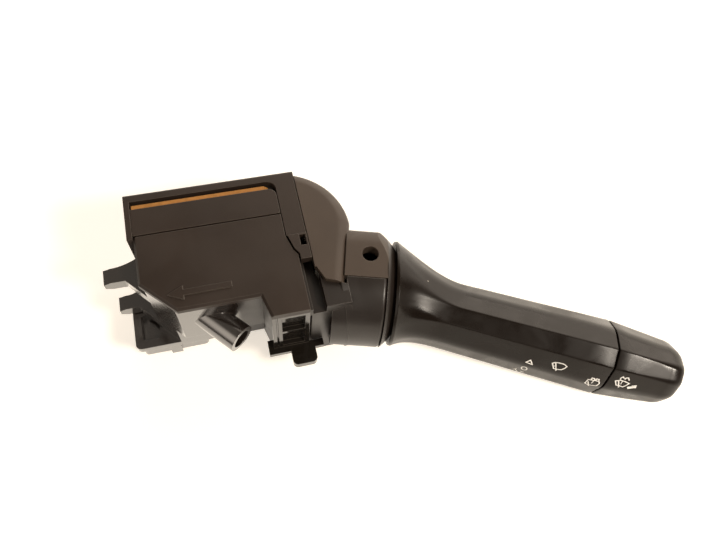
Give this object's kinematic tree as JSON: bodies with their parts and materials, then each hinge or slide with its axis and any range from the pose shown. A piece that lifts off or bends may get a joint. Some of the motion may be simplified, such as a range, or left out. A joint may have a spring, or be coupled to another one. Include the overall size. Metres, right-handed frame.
{
  "type": "combination stalk switch",
  "caption": "Steering column stalk switch: slide-in switch box with a neck, a faceted lever and a turning end knob.",
  "frame": {"origin": "on the lever's swing axis, in the plane of the box's underside", "axes": "+X along the box towards the lever, +Y up in the car, +Z towards the driver, out of the cover plate"},
  "size_m": [0.1904, 0.1028, 0.0496],
  "materials": {
    "case_plastic": "moulded, satin on the outer walls",
    "plate_plastic": "fine texture",
    "ear_plastic": "fine texture",
    "latch_plastic": "polished",
    "lever_plastic": "satin with a fine grain",
    "bearing_plastic": "natural acetal, smooth",
    "board_laminate": "sawn edge",
    "contact_brass": "rolled",
    "pin_steel": "drawn"
  },
  "bodies": {
    "case": {"main_case": "case_plastic", "pivot_housing": "ear_plastic", "neck_closure": "case_plastic", "arrow_cover": "plate_plastic", "board_cover": "plate_plastic", "top_shell": "plate_plastic", "circuit_board": "board_laminate", "connector_shroud": "case_plastic", "connector_terminals": "contact_brass", "release_latch": "latch_plastic", "detent_cam": "bearing_plastic", "pivot_bushes": "bearing_plastic"},
    "yoke": {"swing_yoke": "bearing_plastic", "pull_pin": "pin_steel"},
    "plunger": {"detent_plunger": "bearing_plastic", "detent_spring": "pin_steel"},
    "lever": {"lever_core": "bearing_plastic", "stem": "lever_plastic", "end_bearing": "bearing_plastic", "contact_disc": "board_laminate"},
    "knob": {"end_knob": "lever_plastic", "knob_spindle": "bearing_plastic", "knob_brush": "contact_brass"},
    "speed_slide": {"speed_slider": "bearing_plastic", "speed_brush": "contact_brass"},
    "wash_slide": {"wash_slider": "bearing_plastic", "wash_brush": "contact_brass", "wash_spring": "pin_steel"}
  },
  "joints": [
    {"name": "speed_select", "type": "hinge", "parent": "case", "child": "yoke", "pos_m": [0, 0, 0.02], "axis": [0, 0, 1], "range_deg": [-6, 20]},
    {"name": "pull", "type": "hinge", "parent": "yoke", "child": "lever", "pos_m": [0, 0, 0.02], "axis": [-0.2756, -0.9613, 0], "range_deg": [0, 6.5], "stiffness_Nm_per_rad": 1.5, "springref_deg": -5.73},
    {"name": "knob_turn", "type": "hinge", "parent": "lever", "child": "knob", "pos_m": [0.09157, -0.0468, 0.02], "axis": [0.8829, -0.4695, 0], "range_deg": [-20, 50]},
    {"name": "plunger_press", "type": "slide", "parent": "yoke", "child": "plunger", "axis": [0.9613, -0.2756, 0], "range_m": [0, 0.0008], "stiffness_N_per_m": 600, "springref_m": -0.002},
    {"name": "speed_slide", "type": "slide", "parent": "case", "child": "speed_slide", "axis": [1, 0, 0], "range_m": [-0.0095, 0.0035]},
    {"name": "wash_slide", "type": "slide", "parent": "case", "child": "wash_slide", "axis": [0, 0, -1], "range_m": [0, 0.0024], "deforming": ["wash_spring"]}
  ],
  "couplings": [
    {"joint": "speed_slide", "follows": "speed_select", "m_per_rad": -0.0236},
    {"joint": "wash_slide", "follows": "pull", "m_per_rad": 0.0195}
  ]
}
